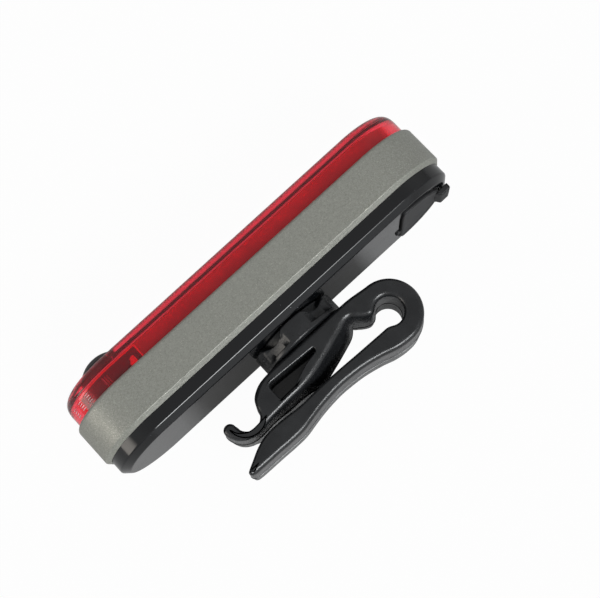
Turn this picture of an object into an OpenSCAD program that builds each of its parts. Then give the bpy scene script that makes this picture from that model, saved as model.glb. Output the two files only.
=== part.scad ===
// Slim rechargeable rear light for a bicycle, with a swivelling spring clip.
// X runs along the light (button end +X, charging end -X), the lens faces -Y, the clip is at +Y,
// and Z = 0 is the lower side of the band, on which the light lies. Millimetres.

/* [Body] */
// Overall length of the band
body_l = 88; // [70:1:110]
// Overall width of the band
body_w = 26; // [24:0.5:30]
// Depth of the band
band_d = 9.1; // [8:0.1:14]
// Wall of the band
band_wall = 0.95; // [0.7:0.05:1.4]
// Round of the band's front edge
band_round = 0.8; // [0.3:0.05:0.9]
// Chamfer of the band's rear edge
band_chamfer = 0.85; // [0.3:0.05:0.9]
// Clearance between the band and what it slides over
slide_gap = 0.05; // [0.02:0.01:0.1]

/* [Lens] */
// Wall of the lens
lens_wall = 2; // [1:0.1:2.1]
// Height of the lens wall in front of the band
lens_side_h = 3.8; // [3:0.1:6]
// Radius of the lens's rounded shoulder
lens_round = 1.9; // [1:0.1:2.5]
// Inset of the shoulder, which leaves a crease along the wall
lens_crease = 0.15; // [0.05:0.05:0.4]
// Radius of the lens's shallow crown
lens_crown_r = 60; // [45:1:120]
// Depth of the ribs inside the lens
lens_rib_d = 0.6; // [0.3:0.1:0.8]
// Thickness of the ribs inside the lens
lens_rib_t = 0.5; // [0.3:0.1:0.8]

/* [Rear housing] */
// Wall of the housing
housing_wall = 1.5; // [1.2:0.1:1.8]
// Thickness of the back
back_t = 1.6; // [1.4:0.1:2.2]
// Depth of the housing behind the band
housing_d = 3.75; // [3.4:0.05:6]
// Depth of the chamfer round the back
back_chamfer_d = 1.22; // [0.6:0.02:2]
// Inset of the chamfer round the back
back_chamfer_w = 1.42; // [0.6:0.02:2]
// Diameter of the screw posts
post_d = 4.2; // [3.6:0.1:5]

/* [Button] */
// Distance of the button from the button end of the band
button_inset = 11.4; // [9:0.1:14]
// Diameter of the button
button_d = 8.4; // [7:0.1:9]
// Height of the button's straight side above the lens
button_side_h = 0.7; // [0.4:0.1:1.2]
// Rise of the button's dome
button_dome_h = 1.5; // [0.8:0.1:1.8]
// Travel of the button
button_travel = 0.55; // [0.3:0.05:0.7]
// Clearance round the button
button_gap = 0.2; // [0.1:0.05:0.4]

/* [Charging flap] */
// Distance of the flap's hinge from the charging end of the band
flap_inset = 13.8; // [12:0.1:16]
// Half width of the flap
flap_r = 8.8; // [7.5:0.1:9]
// Thickness of the flap
flap_t = 1.05; // [0.8:0.05:1.4]
// How far the flap stands proud of the back
flap_proud = 0.5; // [0.3:0.05:0.6]
// Clearance round the flap
flap_gap = 0.35; // [0.1:0.05:0.4]
// Width of the pull tab
tab_w = 6; // [4:0.5:8]
// Length of the pull tab
tab_l = 3.2; // [2.6:0.1:5]
// Height of the pull tab above the flap
tab_h = 1.1; // [0.8:0.05:2]

/* [Swivel] */
// Diameter of the swivel puck
puck_d = 19; // [16:0.5:20]
// Thickness of the swivel puck
puck_t = 4.24; // [3:0.1:6]
// Depth of the ring cored out of the puck's underside
puck_core_d = 2.8; // [1:0.1:3]
// Height of the arches in the puck's rim, on the side of the back
arch_h = 1.2; // [0.6:0.1:1.4]
// Gap between the puck and the back
puck_gap = 0.25; // [0.15:0.05:0.5]
// Diameter of the swivel bolt's shoulder
bolt_d = 5; // [4:0.5:6]
// Running clearance of the bolt in the back
bolt_gap = 0.05; // [0.03:0.01:0.1]
// Diameter of the bolt's thread
thread_d = 3; // [2.5:0.5:3.5]
// Length of the thread in the clip
thread_l = 2.6; // [1.5:0.1:3]

/* [Clip] */
// Width of the clip
clip_w = 14.6; // [12:0.1:16]
// Distance of the loop from the swivel axis
loop_x = 15.2; // [14:0.1:18]
// Distance of the loop from the clip's seat
loop_y = 7.2; // [7:0.1:9]
// Diameter of the hole in the loop
loop_hole_d = 5.6; // [5:0.1:6.4]
// Wall of the loop
loop_wall = 4; // [3:0.1:4.4]
// Thickness of the inner arm beside the loop
arm_root_t = 3.2; // [2.6:0.1:3.6]
// Thickness of the inner arm at its deep end
arm_deep_t = 6.8; // [6.4:0.1:7.4]
// Gap between the arms where they are closest
jaw_gap = 0.9; // [0.6:0.1:1.8]
// Thickness of the outer arm at its waist
waist_t = 2.8; // [2.2:0.1:3.4]
// Thickness of the outer arm at the jaw
jaw_t = 4.5; // [3.6:0.1:5]
// Distance of the outer arm's tip from the swivel axis
tip_x = 25.3; // [24:0.1:30]
// Radius of the gap inside the hook
hook_r = 2.5; // [2.3:0.1:2.7]
// Distance of the hook's gap from the swivel axis
hook_x = 18.4; // [17.5:0.1:19.5]
// Radius of the hook's round end
hook_end_r = 1.4; // [1:0.1:1.6]
// Depth of the pockets in the sides of the inner arm
pocket_d = 5.2; // [2:0.1:5.6]
// Gap left at the split in the back of the loop, where the outer arm flexes
flex_gap = 0.05; // [0.03:0.01:0.1]

/* [Inside] */
// Thickness of the seal between lens and housing
seal_t = 0.6; // [0.4:0.1:1]
// Thickness of the chassis plate
chassis_t = 1.2; // [0.8:0.1:1.6]
// Thickness of the charging board
board_t = 1.2; // [0.8:0.1:1.6]
// Width of the board that carries the lamp
led_board_w = 10; // [8:0.5:11.5]
// Thickness of the lamp board
led_board_t = 1.8; // [1:0.1:1.9]
// Width of the lamp strip
cob_w = 8; // [4:0.5:8]
// Thickness of the lamp strip
cob_t = 0.8; // [0.5:0.1:1.2]
// Thickness of the reflector's wall
reflector_t = 0.6; // [0.4:0.1:0.8]
// Length of the battery cell
cell_l = 46; // [30:1:48]
// Width of the battery cell
cell_w = 18.5; // [12:0.5:19]
// Thickness of the battery cell
cell_t = 5.4; // [4:0.1:6]
// Diameter of the wires
wire_d = 0.9; // [0.6:0.1:1.2]

/* [Hidden] */
$fn = 72;

// Clearance of pieces that are laid or pushed in by hand
fit_gap = 0.2;
// Clearance of holes round what is fixed in them
hole_gap = 0.05;

// Body: Y levels from the lens to the back, and radii of the stadium's ends
half_w = body_w / 2;
half_straight = body_l / 2 - half_w;
front_y = -band_d / 2;
rear_y = band_d / 2;
shell_r = half_w - band_wall - slide_gap;
seam_y = front_y + 3.55;
rib_end_y = seam_y + seal_t;
rib_in_r = shell_r - 1;
crease_y = front_y - lens_side_h;
round_r = shell_r - lens_crease - lens_round;
crown_c_y = crease_y + sqrt(pow(lens_crown_r - lens_round, 2) - pow(round_r, 2));
crown_y = crown_c_y - lens_crown_r;
lens_in_r = shell_r - lens_wall;
lens_in_y = crown_y + lens_wall;
back_y = rear_y + housing_d;
back_in_y = back_y - back_t;
back_r = shell_r - back_chamfer_w;
housing_in_r = shell_r - housing_wall;
seal_in_r = max(lens_in_r, housing_in_r);

// Chassis and lamp
chassis_y = front_y + 0.55;
chassis_rear_y = chassis_y + chassis_t;
chassis_r = min(lens_in_r, housing_in_r) - fit_gap;
led_front_y = chassis_y - led_board_t;
reflector_r = lens_in_r - lens_rib_d - 0.1;
reflector_top_y = crown_c_y - sqrt(pow(lens_crown_r - lens_wall, 2) - pow(reflector_r, 2)) + fit_gap;
main_w = 13;
main_l = 9.5;
main_x0 = -half_straight - sqrt(pow(housing_in_r - fit_gap, 2) - pow(main_w / 2, 2));
main_x1 = main_x0 + main_l;
chip_w = 4;
chip_x = main_x1 - chip_w;
chip_lead_gap = 0.06;
led_lead_x = chip_x - chip_w / 2 - chip_lead_gap - wire_d / 2;
led_lead_run = 1.5;
led_x0 = led_lead_x + led_lead_run;
lug_x = -8.3;
lug_w = 1.9;
lug_h = 1.1;

// Button, from its flange under the lens down to the switch
button_x = body_l / 2 - button_inset;
flange_r = button_d / 2 + 1;
flange_t = 0.5;
flange_y = lens_in_y + 0.55;
button_base_y = flange_y + flange_t;
plunger_h = 0.7;
plunger_d = 3.2;
plunger_y = button_base_y + button_travel + 0.05;
switch_y = plunger_y + plunger_h;
switch_w = 6;
led_x1 = button_x + switch_w / 2 + 2;

// Switch well, round the button
well_t = 1.1;
well_r = reflector_r - 0.3;
well_x0 = button_x - 7.6;
well_x1 = button_x + flange_r + 0.25 + well_t;
well_top_y = reflector_top_y + 0.1;
notch_d = 2.3;
notch_x = well_x0 + 1.5;
cob_x0 = led_x0 + 3;
cob_x1 = well_x0 - 2.5;

// Screws and their posts
screw_d = 2;
screw_head_d = 3.2;
screw_head_h = 1.1;
screw_l = 5;
post_z = led_board_w / 2 + 0.3 + screw_head_d / 2;
post_gap = 1.6;

// Battery, main board and charging socket
pad_t = 0.3;
main_gap = 3.9;
main_y = chassis_rear_y + main_gap;
main_rear_y = main_y + board_t;
lead_run = 6.5;
cell_x0 = main_x1 + lead_run;
cell_x1 = cell_x0 + cell_l;
cell_y = chassis_rear_y + pad_t;
cell_seal_l = 2;
pad_inset = 3;
chip_h = 0.9;
charger_w = 2.7;
charger_h = 1.1;
led_lead_z = 1.5;
socket_x = -body_l / 2 + 8.6;
socket_w = 7.6;
socket_t = 2.8;
socket_shell = 0.35;
post_xs = [cell_x0 - post_d / 2 - post_gap, cell_x1 + post_d / 2 + post_gap];
stub_d = 2.6;
stub_z = socket_w / 2 + stub_d / 2 + 0.4;
stub_x0 = main_x0 + stub_d / 2 + 0.3;
stub_x1 = main_x1 - stub_d / 2 - 0.3;
battery_lead_z = 2.5;
lead_end = 1.3;

// Charging flap
flap_x = -body_l / 2 + flap_inset;
flap_y1 = back_y + flap_proud;
flap_y0 = flap_y1 - flap_t;
flap_edge = 0.3;
bead_r = flap_t / 2;
bead_y = (flap_y0 + flap_y1) / 2;
pocket_y = flap_y0 - 0.06;
socket_y1 = pocket_y - 0.4;
tab_end_x = -half_straight - flap_r - 1.8;
tab_clear = 0.3;
plug_w = socket_w - 2 * socket_shell - 0.9;
plug_t = socket_t - 2 * socket_shell - 0.9;
plug_y = socket_y1 - 0.4;
tether_x = flap_x + 1.75;
tether_z = half_w - 4;
tether_d = 1.5;

// Swivel
puck_y0 = back_y + puck_gap;
seat_y = puck_y0 + puck_t;
puck_edge = 0.4;
puck_rim = 1.7;
puck_hub_d = bolt_d + 4;
washer_t = 0.5;
washer_d = bolt_d + 4;
head_d = washer_d - 1;
head_t = 1.3;
head_y1 = back_in_y - washer_t - 0.05;
shoulder_y1 = puck_y0 + 1.5;
scallop_r = 5.5;
scallop_h = 2.3;
scallop_depth = 0.9;
scallop_turn = 47;
arch_r = 10;
arch_d = 1;

// Clip, drawn across X and away from its seat
loop_r = loop_hole_d / 2;
ring_r = loop_r + loop_wall;
ring_shift = 0.2;
ring_top = loop_y + ring_shift - ring_r;
ring_end = loop_y + ring_shift + ring_r;
throat_open = 31;
throat_rise = 36;
hook_y = 3.6;
hook_t = 1.35;
hook_base = hook_y + hook_r + hook_t;
hook_out_x = hook_x + hook_r + 2 * hook_end_r;
deep_x = hook_x - 8.2;
root_x = -loop_x + 6.5;
rest_y = loop_y + 1.5;
jaw_y = hook_base + jaw_gap;
pocket_rim = 1.3;
pocket_round = 0.4;

// A point on a Catmull-Rom curve between b and c
function curve_point(a, b, c, d, t) =
    0.5 * (2 * b + (c - a) * t + (2 * a - 5 * b + 4 * c - d) * t * t
        + (3 * b - a - 3 * c + d) * t * t * t);

// A smooth open curve through the given points
function curve(p, steps = 5) = [
    for (i = [0 : len(p) - 2], k = [0 : steps - 1])
        curve_point(p[max(i - 1, 0)], p[i], p[i + 1], p[min(i + 2, len(p) - 1)], k / steps),
    p[len(p) - 1]
];

// How far the lens's inner wall is from the middle plane at a place along the light
function lens_reach(x) =
    abs(x) < half_straight ? lens_in_r : sqrt(pow(lens_in_r, 2) - pow(abs(x) - half_straight, 2));

// Carries a half section, drawn as radius across and height along Y, round the body's outline
module around() {
    translate([0, 0, half_w]) {
        for (turn = [90, -90])
            rotate([0, turn, 0]) linear_extrude(2 * half_straight, center = true) children();
        for (side = [-1, 1])
            translate([side * half_straight, 0, 0]) rotate([-90, 0, 0]) rotate([0, 0, side * -90])
                rotate_extrude(angle = 180) children();
    }
}

// A cylinder along Y between two levels
module rod_y(x, z, y0, y1, d) {
    translate([x, y0, z]) rotate([-90, 0, 0]) cylinder(h = y1 - y0, d = d);
}

// A box between two corners
module block(a, b) {
    translate(a) cube(b - a);
}

// A box centred on the middle plane, between two places along X and two levels along Y
module bar(x0, x1, y0, y1, w) {
    block([x0, y0, half_w - w / 2], [x1, y1, half_w + w / 2]);
}

// A wire through points, with round bends
module wire(p) {
    for (i = [0 : len(p) - 2]) {
        run = p[i + 1] - p[i];
        translate(p[i]) rotate([0, acos(run.z / norm(run)), atan2(run.y, run.x)])
            cylinder(h = norm(run), d = wire_d, $fn = 24);
    }
    for (i = [1 : len(p) - 2])
        translate(p[i]) sphere(d = wire_d, $fn = 24);
}

// Half section of the lens as a filled shape, set in from its outside and open towards the rear
module lens_half(inset, y1) {
    round_in = max(lens_round - inset, 0.3);
    intersection() {
        translate([0, crown_c_y]) circle(lens_crown_r - inset, $fn = 180);
        union() {
            translate([0, crease_y]) square([shell_r - inset, y1 - crease_y]);
            translate([0, crease_y - round_in]) square([round_r, y1 - crease_y]);
            translate([round_r, crease_y]) circle(round_in);
            translate([0, crown_y - 1]) square([round_r, y1 - crown_y]);
        }
        translate([0, crown_y - 1]) square([shell_r, y1 - crown_y + 1]);
    }
}

// One upright rib inside the lens's wall, on the upper side
module lens_rib(x) {
    reach = lens_reach(x);
    translate([x - lens_rib_t / 2, crease_y + 0.3, half_w + reach - lens_rib_d])
        cube([lens_rib_t, lens_side_h - 0.6, lens_rib_d + lens_wall / 2]);
}

module lens() {
    color([0.75, 0.08, 0.1, 0.8]) {
        difference() {
            around() difference() {
                lens_half(0, seam_y);
                lens_half(lens_wall, seam_y + 1);
            }
            rod_y(button_x, half_w, crown_y - 1, seam_y, button_d + 2 * button_gap);
        }
        for (end = [-1, 1], step = [-1, 1], side = [0, 1])
            translate([0, 0, half_w]) mirror([0, 0, side]) translate([0, 0, -half_w])
                lens_rib(end * button_x + step * lens_rib_t);
    }
}

module band() {
    in_r = shell_r + slide_gap;
    color([0.55, 0.56, 0.53]) around() {
        polygon([[in_r, front_y + band_round], [half_w, front_y + band_round],
            [half_w, rear_y - band_chamfer], [half_w - band_chamfer, rear_y], [in_r, rear_y]]);
        translate([in_r, front_y]) square([band_wall - band_round, band_round + 0.1]);
        intersection() {
            translate([half_w - band_round, front_y + band_round]) circle(band_round);
            translate([in_r, front_y]) square([band_wall, band_round + 0.1]);
        }
        translate([rib_in_r, seam_y]) square([half_w - rib_in_r - band_wall / 2, seal_t]);
    }
}

module rear_housing() {
    color([0.08, 0.08, 0.09]) difference() {
        union() {
            around() polygon([[housing_in_r, rib_end_y], [shell_r, rib_end_y],
                [shell_r, back_y - back_chamfer_d], [back_r, back_y], [0, back_y],
                [0, back_in_y], [housing_in_r, back_in_y]]);
            for (x = post_xs, z = [-post_z, post_z])
                rod_y(x, half_w + z, chassis_rear_y, back_in_y + 0.1, post_d);
            for (x = [stub_x0, stub_x1], z = [-stub_z, stub_z])
                rod_y(x, half_w + z, main_rear_y, back_in_y + 0.1, stub_d);
        }
        flap_pocket();
        rod_y(0, half_w, back_in_y - 1, back_y + 1, bolt_d + 2 * bolt_gap);
        bar(socket_x - socket_t / 2 - fit_gap, socket_x + socket_t / 2 + fit_gap,
            back_in_y - 1, back_y, socket_w + 2 * fit_gap);
        for (x = post_xs, z = [-post_z, post_z])
            rod_y(x, half_w + z, chassis_rear_y - 1, chassis_y + screw_l + 0.4, screw_d + 2 * hole_gap);
        rod_y(tether_x, tether_z, back_y - 1.2, back_y + 1, tether_d + 2 * hole_gap);
    }
}

// The flap's recess in the back: a round end, cut off straight at the hinge
module flap_pocket() {
    r = flap_r + flap_gap;
    straight_x = flap_x + bead_r + flap_gap;
    intersection() {
        rod_y(-half_straight, half_w, pocket_y, back_y + 1, 2 * r);
        bar(-half_straight - r, straight_x, pocket_y, back_y + 1, 2 * r);
    }
}

module joint_seal() {
    color([0.15, 0.15, 0.15]) around()
        translate([seal_in_r, seam_y]) square([rib_in_r - slide_gap - seal_in_r, seal_t]);
}

module chassis() {
    color([0.12, 0.12, 0.13]) difference() {
        union() {
            around() translate([0, chassis_y]) square([chassis_r, chassis_t]);
            intersection() {
                around() translate([0, well_top_y]) square([well_r, chassis_y + 0.1 - well_top_y]);
                bar(well_x0, well_x1, well_top_y, chassis_y + 0.1, body_w);
            }
            for (z = [-1, 1])
                translate([lug_x - lug_w / 2, chassis_y - lug_h, half_w + z * (reflector_r - 1.6) - 0.6])
                    cube([lug_w, lug_h + 0.1, 1.2]);
            for (x = [stub_x0, stub_x1], z = [-stub_z, stub_z])
                rod_y(x, half_w + z, chassis_rear_y - 0.1, main_y, stub_d);
        }
        intersection() {
            around() translate([0, well_top_y - 1])
                square([well_r - well_t, chassis_y - well_top_y + 1]);
            bar(well_x0 + well_t, well_x1 - well_t, well_top_y - 1, chassis_y, body_w);
        }
        bar(led_x0 - fit_gap, led_x1 + fit_gap, led_front_y - fit_gap, chassis_y, led_board_w + 2 * fit_gap);
        for (z = [-1, 1])
            translate([notch_x, chassis_y - 1.6, half_w + z * well_r])
                cylinder(h = 2 * well_t + 2, d = notch_d, center = true);
        for (x = post_xs, z = [-post_z, post_z]) {
            rod_y(x, half_w + z, chassis_y - 1, chassis_rear_y + 1, screw_d + 2 * fit_gap);
            rod_y(x, half_w + z, well_top_y - 1, chassis_y, screw_head_d + 2 * hole_gap);
        }
        bar(led_lead_x - wire_d, led_lead_x + wire_d, chassis_y - 1, chassis_rear_y + 1,
            2 * led_lead_z + 2 * wire_d);
    }
}

module chassis_screws() {
    color([0.7, 0.7, 0.72])
        for (x = post_xs, z = [-post_z, post_z]) difference() {
            union() {
                rod_y(x, half_w + z, chassis_y - screw_head_h, chassis_y, screw_head_d);
                rod_y(x, half_w + z, chassis_y - 0.1, chassis_y + screw_l, screw_d);
            }
            for (turn = [0, 90])
                translate([x, chassis_y - screw_head_h, half_w + z]) rotate([0, turn, 0])
                    cube([screw_head_d * 0.55, 1, 0.5], center = true);
        }
}

module reflector() {
    lip_r = led_board_w / 2 + 0.8;
    wall_r = reflector_r - reflector_t;
    color([0.92, 0.92, 0.9]) difference() {
        intersection() {
            around() polygon([[reflector_r, chassis_y], [reflector_r, reflector_top_y],
                [wall_r, reflector_top_y], [lip_r, led_front_y - reflector_t], [lip_r, led_front_y],
                [wall_r, reflector_top_y + 1.3 * reflector_t], [wall_r, chassis_y]]);
            bar(-body_l / 2, well_x0 - 0.3, reflector_top_y - 1, chassis_y, body_w);
        }
        for (x = post_xs, z = [-post_z, post_z])
            rod_y(x, half_w + z, chassis_y - screw_head_h - hole_gap, chassis_y + 1,
                screw_head_d + 2 * hole_gap);
    }
}

module led_board() {
    color([0.9, 0.9, 0.86]) bar(led_x0, led_x1, led_front_y, chassis_y, led_board_w);
}

module cob_strip() {
    color([0.95, 0.85, 0.3]) bar(cob_x0, cob_x1, led_front_y - cob_t, led_front_y, cob_w);
}

module tact_switch() {
    color([0.2, 0.2, 0.2]) {
        bar(button_x - switch_w / 2, button_x + switch_w / 2, switch_y, led_front_y, switch_w);
        rod_y(button_x, half_w, plunger_y, switch_y + 0.1, plunger_d);
    }
}

module main_board() {
    color([0.05, 0.35, 0.15]) bar(main_x0, main_x1, main_y, main_rear_y, main_w);
}

module control_chips() {
    color([0.1, 0.1, 0.1]) {
        bar(chip_x - chip_w / 2, chip_x + chip_w / 2, main_y - chip_h, main_y, chip_w);
        translate([chip_x - chip_w / 2, main_y - charger_h, half_w + chip_w / 2 + 1])
            cube([charger_w, charger_h, charger_w]);
    }
}

module usb_socket() {
    wall = 2 * socket_shell;
    color([0.75, 0.76, 0.78]) {
        difference() {
            bar(socket_x - socket_t / 2, socket_x + socket_t / 2, main_rear_y, socket_y1, socket_w);
            bar(socket_x - socket_t / 2 + socket_shell, socket_x + socket_t / 2 - socket_shell,
                main_rear_y + 0.8, socket_y1 + 1, socket_w - wall);
        }
        bar(socket_x - 0.3, socket_x + 0.3, main_rear_y + 0.7, socket_y1 - 1.4, socket_w - wall - 1.6);
    }
}

module battery_cell() {
    color([0.75, 0.77, 0.8]) {
        bar(cell_x0 + cell_seal_l, cell_x1, cell_y, cell_y + cell_t, cell_w);
        bar(cell_x0, cell_x0 + cell_seal_l + 0.1, cell_y + 1, cell_y + cell_t - 1, cell_w - 1);
    }
}

module battery_pad() {
    color([0.2, 0.2, 0.22])
        bar(cell_x0 + cell_seal_l + pad_inset, cell_x1 - pad_inset, chassis_rear_y, cell_y,
            cell_w - pad_inset);
}

module battery_leads() {
    run_y = cell_y + cell_t / 2;
    end_x = main_x1 - lead_end;
    for (side = [-1, 1]) {
        z = half_w + side * battery_lead_z;
        color(side > 0 ? "red" : "black")
            wire([[cell_x0, run_y, z], [end_x, run_y, z], [end_x, main_y, z]]);
    }
}

module led_leads() {
    front = led_front_y - 1.2 * wire_d;
    end_x = led_x0 + lead_end;
    for (side = [-1, 1]) {
        z = half_w + side * led_lead_z;
        color(side > 0 ? "red" : "black")
            wire([[led_lead_x, main_y, z], [led_lead_x, front, z], [end_x, front, z],
                [end_x, led_front_y, z]]);
    }
}

module flap_tether() {
    color([0.1, 0.1, 0.1]) {
        rod_y(tether_x, tether_z, back_y - 1.2, back_y + 0.4, tether_d);
    }
}

module usb_flap() {
    nub_y = flap_y1 + tab_h;
    color([0.1, 0.1, 0.1]) {
        intersection() {
            translate([-half_straight, 0, half_w]) rotate([-90, 0, 0]) rotate_extrude()
                polygon([[0, flap_y0], [flap_r, flap_y0], [flap_r, flap_y1 - flap_edge],
                    [flap_r - flap_edge, flap_y1], [0, flap_y1]]);
            bar(-half_straight - flap_r, flap_x, flap_y0, flap_y1, 2 * flap_r);
        }
        translate([flap_x, bead_y, half_w])
            cylinder(h = 2 * flap_r - 1.2, r = bead_r, center = true);
        translate([0, 0, half_w]) linear_extrude(tab_w, center = true)
            polygon([[tab_end_x + tab_l, flap_y1 - 0.1], [tab_end_x + tab_l - 0.8, nub_y],
                [tab_end_x + 0.5, nub_y], [tab_end_x, nub_y - 0.5], [tab_end_x, back_y + tab_clear],
                [tab_end_x + tab_l, back_y + tab_clear]]);
        bar(socket_x - plug_t / 2, socket_x + plug_t / 2, plug_y, flap_y0 + 0.1, plug_w);
    }
}

module button_cap() {
    r = button_d / 2;
    side_y = crown_y - button_side_h;
    dome_r = (r * r + button_dome_h * button_dome_h) / (2 * button_dome_h);
    color([0.09, 0.09, 0.1]) translate([button_x, 0, half_w]) rotate([-90, 0, 0]) rotate_extrude() {
        translate([0, flange_y]) square([flange_r, flange_t]);
        translate([0, side_y]) square([r, flange_y - side_y + 0.1]);
        intersection() {
            translate([0, side_y - button_dome_h + dome_r]) circle(dome_r, $fn = 144);
            translate([0, side_y - button_dome_h]) square([r, button_dome_h + 0.1]);
        }
    }
}

module swivel_washer() {
    color([0.85, 0.85, 0.82]) difference() {
        rod_y(0, half_w, back_in_y - washer_t, back_in_y, washer_d);
        rod_y(0, half_w, back_in_y - washer_t - 1, back_in_y + 1, bolt_d + 2 * fit_gap);
    }
}

module swivel_bolt() {
    color([0.75, 0.76, 0.78]) difference() {
        union() {
            rod_y(0, half_w, head_y1 - head_t, head_y1, head_d);
            rod_y(0, half_w, head_y1 - 0.1, shoulder_y1, bolt_d);
            rod_y(0, half_w, shoulder_y1 - 0.1, seat_y + thread_l, thread_d);
        }
        translate([0, head_y1 - head_t - 0.1, half_w]) rotate([-90, 0, 0])
            cylinder(h = 0.9, d = 2.9, $fn = 6);
    }
}

module swivel_puck() {
    r = puck_d / 2;
    mid_y = puck_y0 + puck_t / 2;
    color([0.1, 0.1, 0.11]) difference() {
        translate([0, 0, half_w]) rotate([-90, 0, 0]) rotate_extrude()
            polygon([[0, puck_y0], [r - puck_edge, puck_y0], [r, puck_y0 + puck_edge],
                [r, seat_y - puck_edge], [r - puck_edge, seat_y], [0, seat_y]]);
        difference() {
            rod_y(0, half_w, puck_y0 - 1, puck_y0 + puck_core_d, puck_d - 2 * puck_rim);
            rod_y(0, half_w, puck_y0 - 2, seat_y, puck_hub_d);
        }
        rod_y(0, half_w, puck_y0 - 1, shoulder_y1, bolt_d + 2 * hole_gap);
        rod_y(0, half_w, puck_y0, seat_y + 1, thread_d + 2 * hole_gap);
        for (turn = [scallop_turn, -scallop_turn, 180 - scallop_turn, 180 + scallop_turn]) {
            reach = r + scallop_r - scallop_depth;
            rod_y(reach * sin(turn), half_w + reach * cos(turn), mid_y - scallop_h / 2,
                mid_y + scallop_h / 2, 2 * scallop_r);
            translate([0, puck_y0 + arch_h - arch_r, half_w]) rotate([0, turn, 0])
                translate([0, 0, r - arch_d]) cylinder(h = arch_d + 1, r = arch_r);
        }
    }
}

// Raises an outline of the clip, drawn from its seat, to the clip's width
module clip_plate(w = clip_w) {
    translate([0, seat_y, half_w]) linear_extrude(w, center = true) children();
}

// Round outside of the loop
module loop_round() {
    translate([-loop_x + ring_shift, loop_y + ring_shift]) circle(ring_r);
}

// Hole of the loop
module loop_hole() {
    translate([-loop_x, loop_y]) circle(loop_r);
}

// Wedge from the middle of the loop, between two directions
module loop_wedge(from, to) {
    far = 3 * ring_r;
    translate([-loop_x, loop_y])
        polygon([[0, 0], [far * cos(from), far * sin(from)], [far * cos(to), far * sin(to)]]);
}

// Side view of the inner arm, from the loop to the hook
module inner_outline() {
    tip_y = hook_y - 0.3;
    difference() {
        union() {
            difference() {
                loop_round();
                loop_wedge(-throat_open, 0);
                translate([-loop_x - 2 * ring_r, loop_y]) square(4 * ring_r);
            }
            polygon(concat(
                curve([[-loop_x + ring_shift, ring_top], [root_x - 2.6, 0.1], [root_x, 0]]),
                curve([[deep_x - 1.2, 0], [deep_x + 2.4, 0.45], [hook_x - hook_r - 1, 1.8],
                    [hook_x - hook_r, hook_y]]),
                [[hook_x, hook_y + 0.5], [hook_x + hook_r, hook_y]],
                curve([[hook_out_x, tip_y], [hook_out_x - 0.25, hook_y + 0.8],
                    [hook_out_x - 1, hook_y + 2.2], [hook_out_x - 2.4, hook_base - 0.55],
                    [hook_x + 1, hook_base], [hook_x - 1, hook_base],
                    [hook_x - 3.6, arm_deep_t + 0.4], [deep_x, arm_deep_t + 0.15],
                    [deep_x - 3.4, arm_deep_t + 0.1], [deep_x - 7.1, arm_deep_t - 0.25],
                    [deep_x - 11.5, arm_deep_t - 1.4], [root_x + 2.8, arm_root_t + 0.75],
                    [root_x, arm_root_t - 0.05], [root_x - 1.9, arm_root_t + 1.4],
                    [-loop_x + 3.1, loop_y - 1.65]]),
                [[-loop_x, loop_y]]));
            translate([hook_out_x - hook_end_r, tip_y]) circle(hook_end_r);
        }
        loop_hole();
        translate([hook_x, hook_y]) circle(hook_r);
        translate([hook_x - hook_r, hook_y - 6]) square([2 * hook_r, 6]);
    }
}

// Side view of the pockets in the inner arm
module pocket_outline() {
    low = arm_deep_t - pocket_rim;
    polygon(concat(
        [[0, 2.5], [deep_x + 0.3, 1.9]],
        curve([[deep_x + 0.3, 1.9], [deep_x + 1, 2.1], [deep_x + 1.2, 2.7]], 3),
        curve([[deep_x + 1.2, low - pocket_round], [deep_x + 1, low], [deep_x + 0.5, low]], 3),
        [[deep_x - 2.4, low], [deep_x - 6.7, low - 1.6], [0.2, 3.3]]));
}

module clip_inner_arm() {
    color([0.11, 0.11, 0.12]) difference() {
        clip_plate() inner_outline();
        for (side = [-1, 1])
            translate([0, 0, side * (clip_w - pocket_d + 0.1) / 2])
                clip_plate(pocket_d + 0.1) pocket_outline();
        rod_y(0, half_w, seat_y - 1, seat_y + thread_l + 0.3, thread_d + 2 * hole_gap);
    }
}

// Side view of the outer arm, from the split at the back of the loop to the flared tip
module outer_outline() {
    difference() {
        union() {
            difference() {
                intersection() {
                    loop_round();
                    translate([-loop_x - 2 * ring_r, loop_y + flex_gap]) square(4 * ring_r);
                }
                loop_wedge(0, throat_rise);
            }
            polygon(concat(
                curve([[-loop_x + 2.6, loop_y + 1.95], [root_x - 1.2, rest_y + 0.35],
                    [root_x + 3.5, rest_y + 0.2], [0, rest_y], [deep_x - 5.2, rest_y - 0.05],
                    [deep_x - 0.7, rest_y + 0.05], [hook_x - 4.4, jaw_y], [hook_x - 0.8, jaw_y],
                    [hook_x + 2, jaw_y + 0.7], [tip_x - 2.4, jaw_y + 1.9], [tip_x - 0.3, jaw_y + 3],
                    [tip_x, jaw_y + 3.6], [tip_x - 0.5, jaw_y + jaw_t - 0.2], [tip_x - 2, jaw_y + jaw_t],
                    [hook_x, jaw_y + jaw_t + 0.1], [hook_x - 3.2, jaw_y + jaw_t + 0.2],
                    [hook_x - 6.4, jaw_y + jaw_t + 0.15], [deep_x - 0.9, rest_y + waist_t + 1],
                    [deep_x - 3.7, rest_y + waist_t + 0.5], [deep_x - 6.4, rest_y + waist_t + 0.2],
                    [root_x + 10, rest_y + waist_t + 0.08], [root_x + 7.5, rest_y + waist_t + 0.18],
                    [root_x + 4, rest_y + waist_t + 0.55], [root_x + 0.2, ring_end - 1.3],
                    [root_x - 2.3, ring_end - 0.5], [-loop_x + 2, ring_end - 0.1],
                    [-loop_x + ring_shift, ring_end]]),
                [[-loop_x, loop_y + loop_r]]));
        }
        loop_hole();
    }
}

module clip_outer_arm() {
    color([0.11, 0.11, 0.12]) clip_plate() outer_outline();
}

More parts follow.
